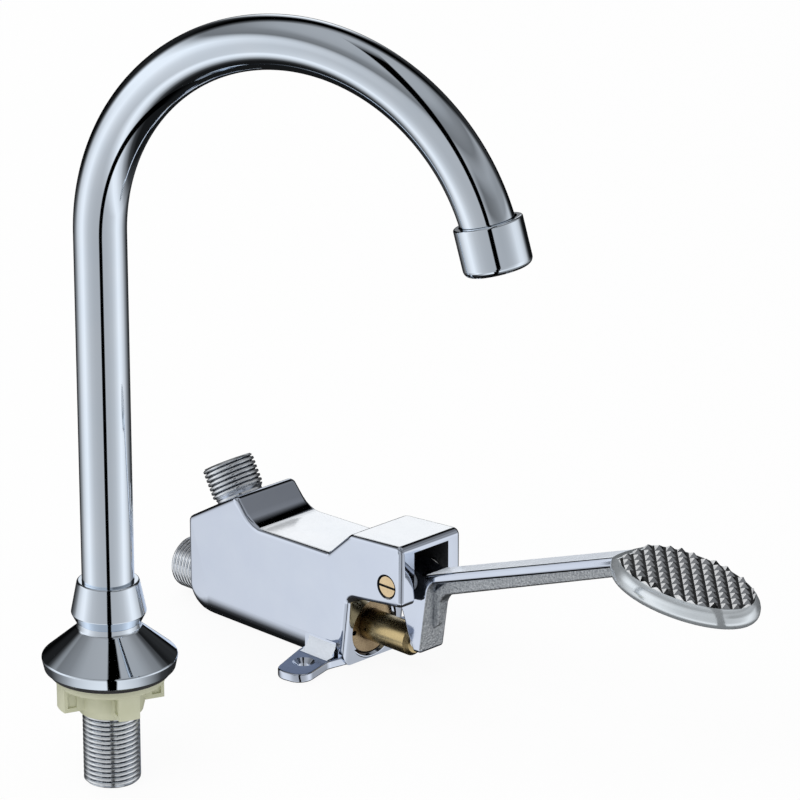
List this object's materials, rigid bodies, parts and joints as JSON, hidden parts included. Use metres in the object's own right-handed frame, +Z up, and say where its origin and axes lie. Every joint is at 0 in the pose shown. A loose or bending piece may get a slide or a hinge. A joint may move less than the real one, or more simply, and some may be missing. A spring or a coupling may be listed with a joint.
{
  "type": "foot pedal tap valve",
  "caption": "Chrome foot-operated tap: a floor-mounted cast pedal valve with an oval studded pedal, and the swivel gooseneck spout that it feeds.",
  "frame": {"origin": "on the floor, midway between the two floor screw holes of the valve", "axes": "+X along the valve towards the pedal, +Z up, and +Y to the side away from the spout"},
  "size_m": [0.2978, 0.2126, 0.2956],
  "materials": {
    "cast_chrome": "polished chrome on a casting",
    "tube_chrome": "mirror chrome",
    "thread_metal": "chromed thread",
    "brass": "turned brass",
    "steel": "plain steel",
    "rubber": "black rubber",
    "cream_plastic": "moulded plastic",
    "pale_plastic": "moulded plastic"
  },
  "bodies": {
    "base": {"valve_body": "cast_chrome", "inlet_nipple": "thread_metal", "outlet_nipple": "thread_metal", "gland_nut": "brass", "gland_seal": "rubber", "gland_screw": "steel", "valve_seat": "brass", "pivot_screw": "brass", "threaded_shank": "thread_metal", "base_flange": "tube_chrome", "base_gasket": "rubber", "wing_nut": "cream_plastic", "swivel_nut": "tube_chrome"},
    "pedal": {"pedal_lever": "cast_chrome", "pivot_bush": "pale_plastic"},
    "plunger_group": {"plunger": "brass", "piston_ring_front": "rubber", "piston_ring_back": "rubber", "valve_disc": "rubber", "disc_washer": "brass", "disc_nut": "brass", "return_spring": "steel"},
    "spout": {"spout_tube": "tube_chrome", "spout_spigot": "brass", "spigot_ring_upper": "rubber", "spigot_ring_lower": "rubber", "split_ring": "pale_plastic", "aerator_gasket": "rubber", "aerator_insert": "pale_plastic", "aerator_shell": "tube_chrome"}
  },
  "joints": [
    {"name": "pedal_press", "type": "hinge", "parent": "base", "child": "pedal", "pos_m": [0.0335, 0, 0.0407], "axis": [0, 1, 0], "range_deg": [0, 13], "stiffness_Nm_per_rad": 2, "springref_deg": -14.32},
    {"name": "plunger_slide", "type": "slide", "parent": "base", "child": "plunger_group", "axis": [-1, 0, 0], "range_m": [0, 0.00576], "deforming": ["return_spring"]},
    {"name": "spout_swivel", "type": "hinge", "parent": "base", "child": "spout", "pos_m": [0.0235, -0.1474, 0.07], "axis": [0, 0, 1], "continuous": true}
  ],
  "couplings": [
    {"joint": "plunger_slide", "follows": "pedal_press", "m_per_rad": 0.02534}
  ]
}
